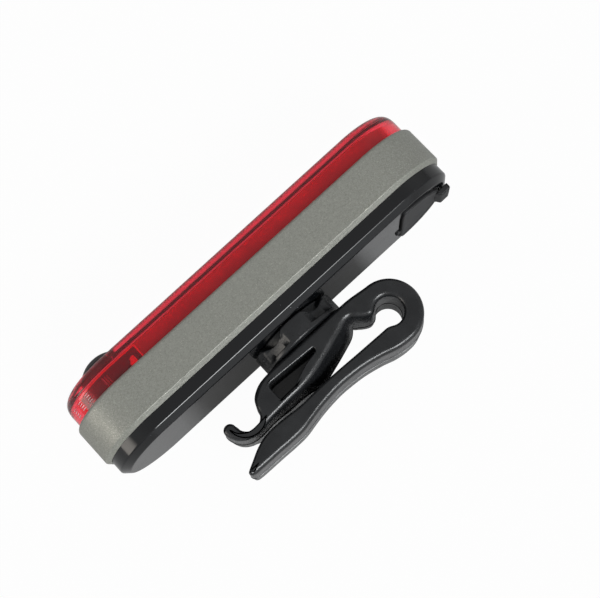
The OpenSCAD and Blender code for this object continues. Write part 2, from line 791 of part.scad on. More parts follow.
lens();
band();
rear_housing();
joint_seal();
chassis();
chassis_screws();
reflector();
led_board();
cob_strip();
tact_switch();
main_board();
control_chips();
usb_socket();
battery_cell();
battery_pad();
battery_leads();
led_leads();
flap_tether();
usb_flap();
button_cap();
swivel_washer();
swivel_bolt();
swivel_puck();
clip_inner_arm();
clip_outer_arm();
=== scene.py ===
import bmesh
import bpy
import numpy as np
from mathutils import Matrix, Vector
from mathutils.geometry import delaunay_2d_cdt


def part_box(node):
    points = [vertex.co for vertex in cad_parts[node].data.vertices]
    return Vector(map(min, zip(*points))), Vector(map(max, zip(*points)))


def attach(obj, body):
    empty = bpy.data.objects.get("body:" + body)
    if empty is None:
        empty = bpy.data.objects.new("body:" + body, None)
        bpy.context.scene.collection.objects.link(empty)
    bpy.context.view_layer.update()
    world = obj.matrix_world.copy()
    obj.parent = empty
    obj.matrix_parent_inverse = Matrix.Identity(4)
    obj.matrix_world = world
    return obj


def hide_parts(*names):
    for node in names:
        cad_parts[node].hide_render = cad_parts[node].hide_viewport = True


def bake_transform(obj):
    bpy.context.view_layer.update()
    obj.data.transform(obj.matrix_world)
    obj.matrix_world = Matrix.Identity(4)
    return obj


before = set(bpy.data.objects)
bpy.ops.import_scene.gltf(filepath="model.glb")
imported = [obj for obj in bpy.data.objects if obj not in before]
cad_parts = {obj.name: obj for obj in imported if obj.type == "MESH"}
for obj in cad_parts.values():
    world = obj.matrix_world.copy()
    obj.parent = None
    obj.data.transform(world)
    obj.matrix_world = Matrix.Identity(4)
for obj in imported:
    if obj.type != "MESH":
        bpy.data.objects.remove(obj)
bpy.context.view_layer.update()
mm = 0.001


# lowest and highest corner of a solid of the frame, in millimetres
def solidBox(name):
    low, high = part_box(name)
    return np.array(low) / mm, np.array(high) / mm


bandLow, bandHigh = solidBox("band")
lensLow, lensHigh = solidBox("lens")
backLow, backHigh = solidBox("rear_housing")
sealLow, sealHigh = solidBox("joint_seal")
puckLow, puckHigh = solidBox("swivel_puck")
buttonLow, buttonHigh = solidBox("button_cap")
flapLow, flapHigh = solidBox("usb_flap")
socketLow, socketHigh = solidBox("usb_socket")
screwLow, screwHigh = solidBox("chassis_screws")
tetherLow, tetherHigh = solidBox("flap_tether")
armHigh = solidBox("clip_inner_arm")[1]

midZ = (bandLow[2] + bandHigh[2]) / 2
halfW = bandHigh[2] - midZ
spineEnd = bandHigh[0] - halfW
shellR = lensHigh[2] - midZ
print("frame loaded: band %.1f x %.1f mm" % (bandHigh[0] - bandLow[0], 2 * halfW))


# quads between neighbouring rows and columns of a grid; a closed direction joins its last line to its first
def gridFaces(rows, cols, closeRows=False, closeCols=True):
    r, c = np.meshgrid(np.arange(rows - (not closeRows)), np.arange(cols - (not closeCols)), indexing="ij")
    nextR, nextC = (r + 1) % rows, (c + 1) % cols
    return np.stack([r * cols + c, r * cols + nextC, nextR * cols + nextC, nextR * cols + c], -1).reshape(-1, 4)


# makes an object from lists of (points in mm, faces); shared points are merged and faces turned outwards
def makePiece(name, parts, crease=32):
    points, faces, start = [], [], 0
    for partPoints, partFaces in parts:
        points.append(partPoints.reshape(-1, 3))
        faces += [(np.asarray(f) + start).tolist() for f in partFaces]
        start += len(points[-1])
    mesh = bpy.data.meshes.new(name)
    mesh.from_pydata((np.concatenate(points) * mm).tolist(), [], sum(faces, []))
    shape = bmesh.new()
    shape.from_mesh(mesh)
    bmesh.ops.remove_doubles(shape, verts=shape.verts, dist=0.002 * mm)
    bmesh.ops.recalc_face_normals(shape, faces=shape.faces)
    shape.to_mesh(mesh)
    shape.free()
    mesh.shade_smooth()
    mesh.set_sharp_from_angle(angle=np.radians(crease))
    piece = bpy.data.objects.new(name, mesh)
    bpy.context.scene.collection.objects.link(piece)
    return piece


# rounds the corners of a line of (across, along) points, each with its own radius; hold adds a point beside each arc
def filletPath(corners, radii, closed=True, turn=11, hold=0.08):
    corners = np.array(corners, float)
    out = []
    for i, (p, radius) in enumerate(zip(corners, radii)):
        if radius <= 0 or (not closed and i in (0, len(corners) - 1)):
            out.append(p[None])
            continue
        a = corners[i - 1] - p
        b = corners[(i + 1) % len(corners)] - p
        a /= np.linalg.norm(a)
        b /= np.linalg.norm(b)
        half = np.arccos(np.clip(a @ b, -1, 1)) / 2
        reach = radius / np.tan(half)
        centre = p + (a + b) / np.linalg.norm(a + b) * radius / np.sin(half)
        first, last = p + a * reach - centre, p + b * reach - centre
        begin = np.arctan2(first[1], first[0])
        sweep = (np.arctan2(last[1], last[0]) - begin + np.pi) % (2 * np.pi) - np.pi
        angle = begin + sweep * np.linspace(0, 1, max(3, int(abs(sweep) / np.radians(turn))) + 1)
        arc = centre + radius * np.stack([np.cos(angle), np.sin(angle)], -1)
        out.append(np.concatenate([[p + a * (reach + hold)], arc, [p + b * (reach + hold)]]))
    return np.concatenate(out)


# closed path round the body: half turns about both ends of the spine, joined by straights;
# each sample has its foot on the spine and its outward direction
def bodyPath(turnSteps=210, straightSteps=34):
    turn = np.linspace(-np.pi / 2, np.pi / 2, turnSteps, endpoint=False)
    run = np.linspace(1, -1, straightSteps, endpoint=False) * spineEnd
    flat = np.full(straightSteps, np.pi / 2)
    foot = np.concatenate([np.full(turnSteps, spineEnd), run, np.full(turnSteps, -spineEnd), -run])
    angle = np.concatenate([turn, flat, turn + np.pi, -flat])
    return foot, np.cos(angle), np.sin(angle)


# carries (radius, level) pairs round the body: foot + direction times radius, at the pair's level
def carry(path, profile):
    foot, nx, nz = path
    r, y = profile[:, 0, None], profile[:, 1, None]
    return np.stack([foot + nx * r, y + 0 * foot, midZ + nz * r], -1)


# turns (radius, level) pairs about a line along Y
def spin(profile, x, z, steps=96):
    angle = np.linspace(0, 2 * np.pi, steps, endpoint=False)
    r, y = profile[:, 0, None], profile[:, 1, None]
    return np.stack([x + r * np.cos(angle), y + 0 * angle, z + r * np.sin(angle)], -1)


# a closed grid of rows and columns as one part of a piece
def ringPart(rows, closeRows=True):
    return rows, [gridFaces(rows.shape[0], rows.shape[1], closeRows)]


# distance of plan points from the spine of the body
def fromSpine(x, z):
    return np.hypot(np.maximum(np.abs(x) - spineEnd, 0), z - midZ)


# smallest of two reaches, with the corner between them rounded
def softMin(a, b, k):
    return (a ** -k + b ** -k) ** (-1 / k)


# lens: crown, shoulder, crease, wall with rows of fine grip dashes at the button end, ribs inside
lensSet = dict(wall=2.0, crownR=60, shoulder=2.4, cornerIn=1.2, crease=0.06, holeGap=0.2, holeRim=0.22, ribT=0.5,
               ribDepth=0.6, farRibDepth=0.06, dashH=0.1, dashPitch=0.5, dashAngles=(31, 44, 57), dashHalf=3.2,
               clearFrom=25)


# crown: level = centre - sqrt(R^2 - d^2), with d the distance to the spine, along rays from the button's hole;
# the rest is a profile carried round the body
def lensShell():
    s = lensSet
    path = bodyPath()
    foot, nx, nz = path
    frontY = bandLow[1]
    crownC = lensLow[1] + s["crownR"]
    roundR = shellR - s["crease"] - s["shoulder"]
    lean = np.arcsin(roundR / (s["crownR"] - s["shoulder"]))
    creaseY = crownC - np.cos(lean) * (s["crownR"] - s["shoulder"])
    inR = shellR - s["wall"]
    holeX = (buttonLow[0] + buttonHigh[0]) / 2
    holeR = (buttonHigh[0] - buttonLow[0]) / 2 - 1 + s["holeGap"]

    # rows from the button's hole to a ring round the body, at shares of the way, on a crown of some radius
    def crownRows(ringR, radius, shares):
        ringX, ringZ = foot + nx * ringR, midZ + nz * ringR
        away = np.hypot(ringX - holeX, ringZ - midZ)
        ux, uz = (ringX - holeX) / away, (ringZ - midZ) / away
        reach = holeR + s["holeRim"] + (away - holeR - s["holeRim"]) * shares[:, None]
        x, z = holeX + ux * reach, midZ + uz * reach
        return np.stack([x, crownC - np.sqrt(radius ** 2 - fromSpine(x, z) ** 2), z], -1), (ux, uz)

    shares = (1 - np.cos(np.linspace(0, np.pi, 26))) / 2
    outer, (ux, uz) = crownRows(s["crownR"] * np.sin(lean), s["crownR"], shares)
    cornerR = inR - s["cornerIn"]
    cornerY = crownC - np.sqrt((s["crownR"] - s["wall"]) ** 2 - cornerR ** 2) + s["cornerIn"]
    inner, _ = crownRows(cornerR, s["crownR"] - s["wall"], shares[::-1])

    bend = np.linspace(lean - np.pi / 2, 0, 16)[1:]
    shoulder = np.stack([roundR + s["shoulder"] * np.cos(bend), creaseY + s["shoulder"] * np.sin(bend)], -1)
    lip = shellR - s["crease"]
    step = np.array([[lip, creaseY + 0.08], [lip + 0.02, creaseY + 0.14], [shellR - 0.03, creaseY + 0.24],
                     [shellR, creaseY + 0.32], [shellR, creaseY + 0.45]])
    foundation = np.array([[shellR, frontY], [shellR, lensHigh[1] - 0.2], [shellR, lensHigh[1] - 0.1],
                           [shellR - 0.1, lensHigh[1]], [inR + 0.1, lensHigh[1]]])

    # dashes: a cosine bump along the level inside narrow columns of the button end
    level = np.arange(creaseY + 0.6, frontY - 0.05, s["dashPitch"] / 8)
    polar = np.degrees(np.arctan2(np.abs(nz), nx))
    columns = sum(np.clip((s["dashHalf"] - np.abs(polar - a)) / 0.9, 0, 1) for a in s["dashAngles"])
    columns = columns * (foot > spineEnd - 0.01)
    bump = np.maximum(np.cos((level - creaseY) / s["dashPitch"] * 2 * np.pi), 0)
    bump = bump * np.clip((level - creaseY - 0.8) / 0.2, 0, 1) * np.clip((frontY - 0.4 - level) / 0.2, 0, 1)
    reach = shellR + s["dashH"] * bump[:, None] * columns
    outerWall = np.stack([foot + nx * reach, level[:, None] + 0 * foot, midZ + nz * reach], -1)

    # ribs: two bars across the inner wall beside the button, and two faint ones at the far end
    level = np.concatenate([[lensHigh[1] - 0.1, (lensHigh[1] + frontY) / 2], np.arange(frontY, cornerY + 0.1, -0.12)])
    x = foot + nx * inR
    ribs = sum(np.clip((s["ribT"] / 2 + 0.08 - np.abs(x - end * holeX - side * s["ribT"])) / 0.12, 0, 1) * depth
               for end, depth in ((-1, s["farRibDepth"]), (1, s["ribDepth"])) for side in (-1, 1))
    ribLevel = np.clip((level - cornerY - 0.1) / 0.12, 0, 1) * np.clip((frontY - 0.3 - level) / 0.12, 0, 1)
    reach = inR - ribLevel[:, None] * ribs
    innerWall = np.stack([foot + nx * reach, level[:, None] + 0 * foot, midZ + nz * reach], -1)
    bend = np.linspace(0, np.pi / 2, 12)[:-1]
    corner = np.stack([cornerR + s["cornerIn"] * np.cos(bend), cornerY - s["cornerIn"] * np.sin(bend)], -1)

    rim = np.linspace(0, np.pi / 2, 6)
    rimReach = (holeR + s["holeRim"] * (1 - np.sin(rim)))[:, None]
    rimDrop = (s["holeRim"] * (1 - np.cos(rim)))[:, None]
    edge = np.stack([holeX + ux * rimReach, outer[0, :, 1] + rimDrop, midZ + uz * rimReach], -1)
    foot0 = np.stack([holeX + ux * holeR, inner[-1, :, 1], midZ + uz * holeR], -1)[None]
    rows = np.concatenate([edge[1:][::-1], outer, carry(path, shoulder), carry(path, step), outerWall,
                           carry(path, foundation), innerWall, carry(path, corner), inner, foot0])
    return [ringPart(rows)]


# share of frosting at each point of the lens: its inner side, but for the clear end round the button, and its bars;
# how near the point lies to the crease, where a deeper red is painted as shade; and the dashes' pale metallic coat, a
# painted glint, by how far the point stands out of the wall
def frostLens(piece):
    s = lensSet
    co = np.empty(len(piece.data.vertices) * 3)
    piece.data.vertices.foreach_get("co", co)
    x, y, z = co.reshape(-1, 3).T / mm
    away = fromSpine(x, z)
    crown = lensLow[1] + s["crownR"] - np.sqrt(s["crownR"] ** 2 - away ** 2)
    inner = (y > crown + s["wall"] / 2) & (away < shellR - s["wall"] / 2)
    bar = inner & (away < shellR - s["wall"] - 0.2) & (y > crown + s["wall"] + 0.5) & (x > s["clearFrom"])
    frost = piece.data.attributes.new("frost", "FLOAT", "POINT")
    frost.data.foreach_set("value", np.maximum(inner * np.clip((s["clearFrom"] - x) / 2, 0, 1), bar))
    roundR = shellR - s["crease"] - s["shoulder"]
    creaseY = lensLow[1] + s["crownR"] - np.sqrt((s["crownR"] - s["shoulder"]) ** 2 - roundR ** 2)
    polar = np.degrees(np.arctan2(np.abs(z - midZ), x - spineEnd))
    columns = sum(np.clip((s["dashHalf"] - np.abs(polar - a)) / 0.9, 0, 1) for a in s["dashAngles"])
    # painted glint: the raised dashes get a pale metallic coat that stands in for highlights on red plastic
    tick = np.clip((away - shellR) / s["dashH"] * 2 - 0.6, 0, 1) * (x > spineEnd)
    dash = piece.data.attributes.new("dash", "FLOAT", "POINT")
    dash.data.foreach_set("value", tick * np.minimum(columns, 1))
    # painted shade: a deeper red on the outside of the lens along the crease darkens the line there
    crease = piece.data.attributes.new("crease", "FLOAT", "POINT")
    crease.data.foreach_set("value", ~inner * np.exp(-((y - creaseY - 0.1) / 0.24) ** 2))


lens = makePiece("lensShell", lensShell(), 40)
frostLens(lens)
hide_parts("lens")
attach(lens, "light_body")
print("lens: %d faces" % len(lens.data.polygons))

# band: a closed section carried round the body, with its rounded front edge, rear chamfer and inner rib
bandSet = dict(wall=0.95, frontRound=0.78, chamfer=0.85, ribIn=1.95, edge=0.22)


# corners of the section as (radius, level) pairs, each rounded by its own radius
def bandSection():
    s = bandSet
    inR = halfW - s["wall"]
    frontY, rearY = bandLow[1], bandHigh[1]
    ribR = halfW - s["ribIn"]
    corners = [(inR, frontY), (halfW, frontY), (halfW, rearY - s["chamfer"]), (halfW - s["chamfer"], rearY),
               (inR, rearY), (inR, sealHigh[1]), (ribR, sealHigh[1]), (ribR, sealLow[1]), (inR, sealLow[1])]
    radii = [0.05, s["frontRound"], s["edge"], 0.06, 0, 0, 0, 0, 0]
    return filletPath(corners, radii, hold=0.05)


band = makePiece("bandSleeve", [ringPart(carry(bodyPath(120, 24), bandSection()))])
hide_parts("band")
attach(band, "light_body")
print("band: %d faces" % len(band.data.polygons))

# rear housing: wall, chamfer, back with the flap's recess and the socket's slot, inside, screw posts
backSet = dict(wall=1.5, backT=1.6, chamferD=1.22, chamferW=1.42, edge=0.55, pocketR=9.15, pocketDrop=0.74,
               pocketEdge=0.14, hingeGap=0.48, slotX=1.6, slotZ=4.0, postR=2.1, postBore=1.05, boltR=2.55,
               screwHeadR=1.6)


# rays from the socket's middle cut the recess (a circle cut off at the hinge) and the slot (a rounded rectangle);
# rows run from the wall over the back to the recess, down to the slot, and back along the inside
def rearShell():
    s = backSet
    path = bodyPath()
    foot, nx, nz = path
    backY = backHigh[1]
    inY = backY - s["backT"]
    inR = shellR - s["wall"]
    sealY = sealHigh[1]
    slotMid = (socketLow[0] + socketHigh[0]) / 2
    flatR = shellR - s["chamferW"]
    section = filletPath([(shellR, sealY), (shellR, backY - s["chamferD"]), (flatR, backY), (flatR - 3, backY)],
                         [0, s["edge"], s["edge"], 0], closed=False)[:-1]
    rim = flatR - 0.3
    ringX, ringZ = foot + nx * rim, midZ + nz * rim
    away = np.hypot(ringX - slotMid, ringZ - midZ)
    ux, uz = (ringX - slotMid) / away, (ringZ - midZ) / away
    offset = -spineEnd - slotMid
    circle = ux * offset + np.sqrt(s["pocketR"] ** 2 - offset ** 2 * uz ** 2)
    straight = (flapHigh[0] + s["hingeGap"] - slotMid) / np.maximum(ux, 0.02)
    pocket = softMin(circle, straight, 14)
    slot = softMin(s["slotX"] / np.maximum(np.abs(ux), 0.02), s["slotZ"] / np.maximum(np.abs(uz), 0.02), 10)

    # one row: a point on each ray at some reach from the socket's middle, at a level
    def rays(reach, y):
        return np.stack([slotMid + ux * reach, y + 0 * ux, midZ + uz * reach], -1)[None]

    e = s["pocketEdge"]
    floorY = backY - s["pocketDrop"]
    rows = [carry(path, section)]
    rows += [rays(pocket + 0.3 + (away - pocket - 0.3) * t, backY) for t in (1, 0.7, 0.4, 0.2, 0.08, 0)]
    rows += [rays(pocket + e * (1 - np.sin(a)), backY - e * (1 - np.cos(a))) for a in np.linspace(0, np.pi / 2, 6)]
    rows += [rays(pocket, floorY + 0.12), rays(pocket - 0.03, floorY + 0.03), rays(pocket - 0.12, floorY)]
    rows += [rays(slot + 0.15 + (pocket - slot - 0.3) * t, floorY) for t in (1, 0.5, 0.15, 0)]
    rows += [rays(slot + 0.03, floorY - 0.03), rays(slot, floorY - 0.12), rays(slot, inY + 0.1), rays(slot, inY)]
    inner = inR - 0.5
    innerAway = np.hypot(foot + nx * inner - slotMid, nz * inner)
    rows += [rays(slot + (innerAway - slot) * t, inY) for t in (0.1, 0.4, 0.8)]
    rows.append(carry(path, np.array([[inner, inY], [inR - 0.15, inY - 0.1], [inR, inY - 0.4], [inR, sealY]])))
    shell = [ringPart(np.concatenate(rows))]
    headR = s["screwHeadR"]
    postY = backLow[1]
    tube = np.array([[s["postBore"], postY], [s["postR"], postY],
                     [s["postR"], inY + 0.1], [s["postBore"], inY + 0.1]])
    for x in (screwLow[0] + headR, screwHigh[0] - headR):
        for z in (screwLow[2] + headR, screwHigh[2] - headR):
            shell.append(ringPart(spin(tube, x, z, 32)))
    return shell


# cuts a round hole along Y through a piece; faces that lie level keep flat shading
def boreHole(piece, x, z, radius, fromY, toY):
    ring = np.array([[0, fromY], [radius, fromY], [radius, toY], [0, toY]])
    cutter = makePiece("cutter", [ringPart(spin(ring, x, z, 64), False)])
    cut = piece.modifiers.new("bore", "BOOLEAN")
    cut.object = cutter
    cut.operation = "DIFFERENCE"
    cut.solver = "EXACT"
    bpy.context.view_layer.objects.active = piece
    bpy.ops.object.modifier_apply(modifier="bore")
    bpy.data.objects.remove(cutter)
    level = [abs(face.normal.y) > 0.9999 for face in piece.data.polygons]
    piece.data.polygons.foreach_set("use_smooth", [not one for one in level])


rear = makePiece("rearShell", rearShell(), 30)
boreHole(rear, 0, midZ, backSet["boltR"], backHigh[1] - 2.5, backHigh[1] + 1)
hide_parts("rear_housing")
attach(rear, "light_body")
print("rear housing: %d faces" % len(rear.data.polygons))

# button: soft dome on a short side, with its flange under the lens
buttonSet = dict(flangeOut=1, flangeT=0.5, domeRise=1.5, edge=0.45)


# profile turned about the button's axis: the dome is an arc, and its edge a fillet
def buttonCap():
    s = buttonSet
    r = (buttonHigh[0] - buttonLow[0]) / 2
    stem = r - s["flangeOut"]
    topY, baseY = buttonLow[1], buttonHigh[1]
    arcR = (stem ** 2 + s["domeRise"] ** 2) / (2 * s["domeRise"])
    reach = np.linspace(0, stem - s["edge"], 14)
    dome = np.stack([reach, topY + arcR - np.sqrt(arcR ** 2 - reach ** 2)], -1)
    sideY = topY + s["domeRise"]
    flangeY = baseY - s["flangeT"]
    rest = filletPath([dome[-1], (stem, sideY), (stem, flangeY), (r, flangeY), (r, baseY), (0, baseY)],
                      [0, s["edge"], 0.15, 0.1, 0.1, 0], closed=False)
    profile = np.concatenate([dome, rest[1:]])
    return [ringPart(spin(profile, (buttonLow[0] + buttonHigh[0]) / 2, midZ), False)]


button = makePiece("buttonCap", buttonCap())
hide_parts("button_cap")
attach(button, "button")

# swivel puck with four side scallops, cored out underneath
puckSet = dict(edge=0.4, scallopR=23.4, scallopH=2.3, scallopDepth=0.8, turns=(36, 144, 216, 324), rim=1.7, coreD=2.8,
               hubR=4.5, boltR=2.55, threadR=1.55, shoulder=1.5, archR=4.3, archH=1.5, archD=1.6)


# radius of the side at a turn: where a scallop (a circle outside the puck) reaches in, its near edge, else the
# puck's; under each scallop the rim's foot is lifted along an arch, a circle seen from outside
def swivelPuck():
    s = puckSet
    r = puckHigh[2] - midZ
    low, high = puckLow[1], puckHigh[1]
    mid = (low + high) / 2
    half = s["scallopH"] / 2
    side = np.array([[r, mid - half - 0.12], [r, mid - half - 0.03], [r, mid - half + 0.03], [r, mid - half + 0.12],
                     [r, mid], [r, mid + half - 0.12], [r, mid + half - 0.03], [r, mid + half + 0.03],
                     [r, mid + half + 0.12]])
    deep = r - s["archD"]
    lower = filletPath([(deep, low), (deep, low), (r, low), (r, mid)], [0, 0, s["edge"], 0], closed=False)[:-1]
    lower = np.concatenate([[[r - s["rim"], low]], lower])
    upper = filletPath([(r, mid), (r, high), (s["threadR"], high)], [0, s["edge"], 0], closed=False)[1:]
    under = np.array([[s["threadR"], low + s["shoulder"]], [s["boltR"], low + s["shoulder"]], [s["boltR"], low],
                      [s["hubR"], low], [s["hubR"], low + s["coreD"]], [r - s["rim"], low + s["coreD"]]])
    rows = spin(np.concatenate([lower, side, upper, under]), 0, midZ, 240)
    angle = np.linspace(0, 2 * np.pi, 240, endpoint=False)
    reach = r + s["scallopR"] - s["scallopDepth"]
    cut = np.full(240, r)
    lift = np.zeros(240)
    for turn in s["turns"]:
        off = (angle - np.radians(90 - turn) + np.pi) % (2 * np.pi) - np.pi
        inside = np.maximum(s["scallopR"] ** 2 - (reach * np.sin(off)) ** 2, 0)
        near = np.where((inside > 0) & (np.abs(off) < 1), reach * np.cos(off) - np.sqrt(inside), r)
        cut = np.minimum(cut, near)
        span = np.maximum(s["archR"] ** 2 - (r * np.sin(off)) ** 2, 0)
        arch = s["archH"] - s["archR"] + np.sqrt(span)
        lift = np.maximum(lift, np.where(np.abs(off) < 1, arch, 0))
    first = len(lower)
    arched = np.clip((lift - 0.6) / 0.4, 0, 1)
    lifted = (np.arange(first) > 1)[:, None]
    share = np.array([0, 0.12, 0.88, 1, 1, 1, 0.88, 0.12, 0])[:, None] + 0 * angle
    share[:4] += (1 - share[:4]) * arched
    radius = r + (cut - r) * share
    foot = lower[:, 0, None] + (cut - r) * arched * lifted
    foot = np.where(lifted, np.maximum(foot, deep), foot)
    radius = np.concatenate([foot, radius])
    rows[:first + 9, :, 0] = radius * np.cos(angle)
    rows[:first + 9, :, 2] = midZ + radius * np.sin(angle)
    rows[2:first + 5, :, 1] += lift * np.clip((mid - rows[2:first + 5, :, 1]) / (mid - low), 0, 1)
    return [ringPart(rows)]


puck = makePiece("swivelPuck", swivelPuck(), 38)
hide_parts("swivel_puck")
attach(puck, "clip")
print("puck: %d faces" % len(puck.data.polygons))


# outlines of a solid's upper side face as closed loops of (X, Y) points
def sideLoops(node, level):
    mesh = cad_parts[node].data
    co = np.empty(len(mesh.vertices) * 3)
    mesh.vertices.foreach_get("co", co)
    co = co.reshape(-1, 3) / mm
    corner = np.empty(len(mesh.loops), int)
    mesh.loops.foreach_get("vertex_index", corner)
    _, merged = np.unique(np.round(co, 3), axis=0, return_inverse=True)
    merged = merged.ravel()
    place = np.zeros((merged.max() + 1, 3))
    place[merged] = co
    tri = merged[corner].reshape(-1, 3)
    tri = tri[(np.abs(place[tri][:, :, 2] - level) < 0.001).all(1)]
    edges = np.concatenate([tri[:, [0, 1]], tri[:, [1, 2]], tri[:, [2, 0]]])
    back = set(map(tuple, edges[:, ::-1].tolist()))
    after = dict(e for e in edges.tolist() if tuple(e) not in back)
    loops = []
    while after:
        first, here = after.popitem()
        loop = [first]
        while here != first:
            loop.append(here)
            here = after.pop(here)
        loops.append(place[loop][:, :2])
    return sorted(loops, key=lambda p: -np.ptp(p[:, 0]))


# even steps along a closed line, then a soft low-pass that takes out its small corners
def smoothLoop(points, step, soften):
    closed = np.concatenate([points, points[:1]])
    along = np.concatenate([[0], np.cumsum(np.linalg.norm(np.diff(closed, axis=0), axis=1))])
    count = int(along[-1] / step)
    at = np.linspace(0, along[-1], count, endpoint=False)
    line = np.interp(at, along, closed[:, 0]) + 1j * np.interp(at, along, closed[:, 1])
    line = lowPass(line, along[-1], soften)
    area = np.sum(line.real * np.roll(line.imag, -1) - np.roll(line.real, -1) * line.imag)
    return line if area > 0 else line[::-1]


# periodic values along a line of some length, softened over a distance
def lowPass(values, length, soften):
    wave = np.fft.fftfreq(len(values), length / len(values)) * 2 * np.pi
    return np.fft.ifft(np.fft.fft(values) * np.exp(-(wave * soften) ** 2 / 2))


# outward direction at each point of a closed counter-clockwise line, and how sharply it turns
def outward(line):
    ahead = np.roll(line, -1) - np.roll(line, 1)
    unit = ahead / np.abs(ahead)
    turning = np.angle(np.roll(unit, -1) / np.roll(unit, 1)) / np.abs(ahead)
    return unit * -1j, turning


# triangles between closed lines: inside the first and outside the others
def fillFace(lines):
    points = np.concatenate(lines)
    edges, start = [], 0
    for line in lines:
        index = np.arange(len(line)) + start
        edges.append(np.stack([index, np.roll(index, -1)], -1))
        start += len(line)
    flat = [Vector((p.real, p.imag)) for p in points]
    made, _, tris, _, _, _ = delaunay_2d_cdt(flat, np.concatenate(edges).tolist(), [], 0, 1e-6)
    points = np.array([complex(*p) for p in made])
    tris = np.array(tris)
    centre = points[tris].mean(1)
    inside = np.zeros(len(tris), int)
    for line in lines:
        a, b = line, np.roll(line, -1)
        spans = (a.imag[None] > centre.imag[:, None]) != (b.imag[None] > centre.imag[:, None])
        slope = (b.real - a.real) / np.where(b.imag == a.imag, 1e-9, b.imag - a.imag)
        cross = a.real + slope * (centre.imag[:, None] - a.imag)
        inside += (spans & (centre.real[:, None] < cross)).sum(1)
    return points, tris[inside % 2 == 1]


# rows of a closed line moved outwards by some distance, at some height on both sides of the middle plane
def lineRows(line, normal, moves, heights):
    moved = line[None] + normal[None] * np.asarray(moves).reshape(len(heights), -1)
    z = midZ + np.asarray(heights).reshape(len(heights), -1) + 0 * moved.real
    return np.stack([moved.real, moved.imag, z], -1)


# rounded plates: half widths of the parting ridge at its foot, side and top, and the round of a pocket's rim
plateSet = dict(ridgeFoot=0.35, ridgeSide=0.24, ridgeTop=0.2, pocketRound=0.38)


# a plate with rounded edges: its outline carried through an edge section, closed by two flat faces;
# pockets sink into both faces. The section is an arc of the edge's radius, a wall with draft and a parting ridge;
# swell moves the wall outwards evenly from both faces to the parting line, and lean from the upper face to the lower
def roundedPlate(line, halfWidth, edge, pockets=(), draft=0.0, seam=0.0, support=0.25, swell=0.0, lean=0.0):
    normal, _ = outward(line)
    edge = edge + np.zeros(len(line))
    arc = np.linspace(0, np.pi / 2, 8)
    moves = [-edge - draft - support] + [-edge * (1 - np.sin(a)) - draft for a in arc]
    heights = [halfWidth + 0 * edge] + [halfWidth - edge * (1 - np.cos(a)) for a in arc]
    ridge = plateSet["ridgeFoot"]
    for share in (0.66, 0.33):
        moves.append(0 * edge - draft * share)
        heights.append(ridge + (halfWidth - edge - ridge) * share)
    moves += [0 * edge, 0 * edge + seam * 0.15, 0 * edge + seam, 0 * edge + seam]
    heights += [ridge + 0 * edge, plateSet["ridgeSide"] + 0 * edge, plateSet["ridgeTop"] + 0 * edge, 0 * edge]
    moves, heights = np.array(moves), np.array(heights)
    moves = moves + swell * (1 - (heights / halfWidth) ** 2)
    upper = lineRows(line, normal, moves + lean * (1 - heights / halfWidth) / 2, heights)
    lower = lineRows(line, normal, moves + lean * (1 + heights / halfWidth) / 2, -heights)
    parts = [ringPart(upper, False), ringPart(lower, False)]
    rims = []
    for rim, depth in pockets:
        out, turning = outward(rim)
        r = plateSet["pocketRound"]
        room = np.minimum(1, 1.4 / np.maximum(turning, 0.2))
        room = lowPass(room, np.abs(np.diff(rim)).sum(), 0.3).real
        bend = np.linspace(0, np.pi / 2, 7)
        off = [r + 0.15] + list(r * (1 - np.sin(bend))) + [-0.1 * room, -0.14 * room, -0.3 * room, -0.5 * room]
        off = np.array([o + 0 * room for o in off])
        rise = [0] + list(-r * (1 - np.cos(bend))) + [-depth + 0.4, -depth + 0.16, -depth + 0.03, -depth]
        heights = halfWidth + np.array(rise)
        for side in (1, -1):
            wall = lineRows(rim, out, off, side * heights)
            parts.append(ringPart(wall, False))
            base, tris = fillFace([rim + out * off[-1]])
            parts.append((np.stack([base.real, base.imag, midZ + 0 * base.real + side * heights[-1]], -1), [tris]))
        rims.append(rim + out * off[0])
    for side, row in ((1, upper[0]), (-1, lower[0])):
        cap, tris = fillFace([row[:, 0] + 1j * row[:, 1]] + rims)
        parts.append((np.stack([cap.real, cap.imag, midZ + side * halfWidth + 0 * cap.real], -1), [tris]))
    return parts


# spring clip: both arms as the one moulding that they are; a zone is its start and rise, its end and fall along X
clipSet = dict(step=0.2, soften=0.28, edge=1.05, hookEdge=1.25, throatEdge=1.1, draft=0.1, seam=0.1, pocketDepth=6.0,
               swell=1.8, lipSwell=0.8, lean=1.15, topIn=0.45, bulgeEdge=1.6, neck=((-12.8, 18.5), (-12.9, 21.65)),
               neckR=1.7, neckSoften=0.8, bendFrom=20.3, bendTo=21.1, hookFrom=19.5, splitBehind=-17,
               throatZone=(-10, 3, 7, 5), jawZone=(1, 5, 15, 4), bulgeZone=(11.5, 2, 16, 2),
               lipZone=(-13.5, 1.5, -7, 2))


# a share kept inside a zone of X: it rises from the zone's start over one length, and falls to its end over another
def inZone(share, x, start, rise, end, fall):
    return share * np.clip((x - start) / rise, 0, 1) * np.clip((end - x) / fall, 0, 1)


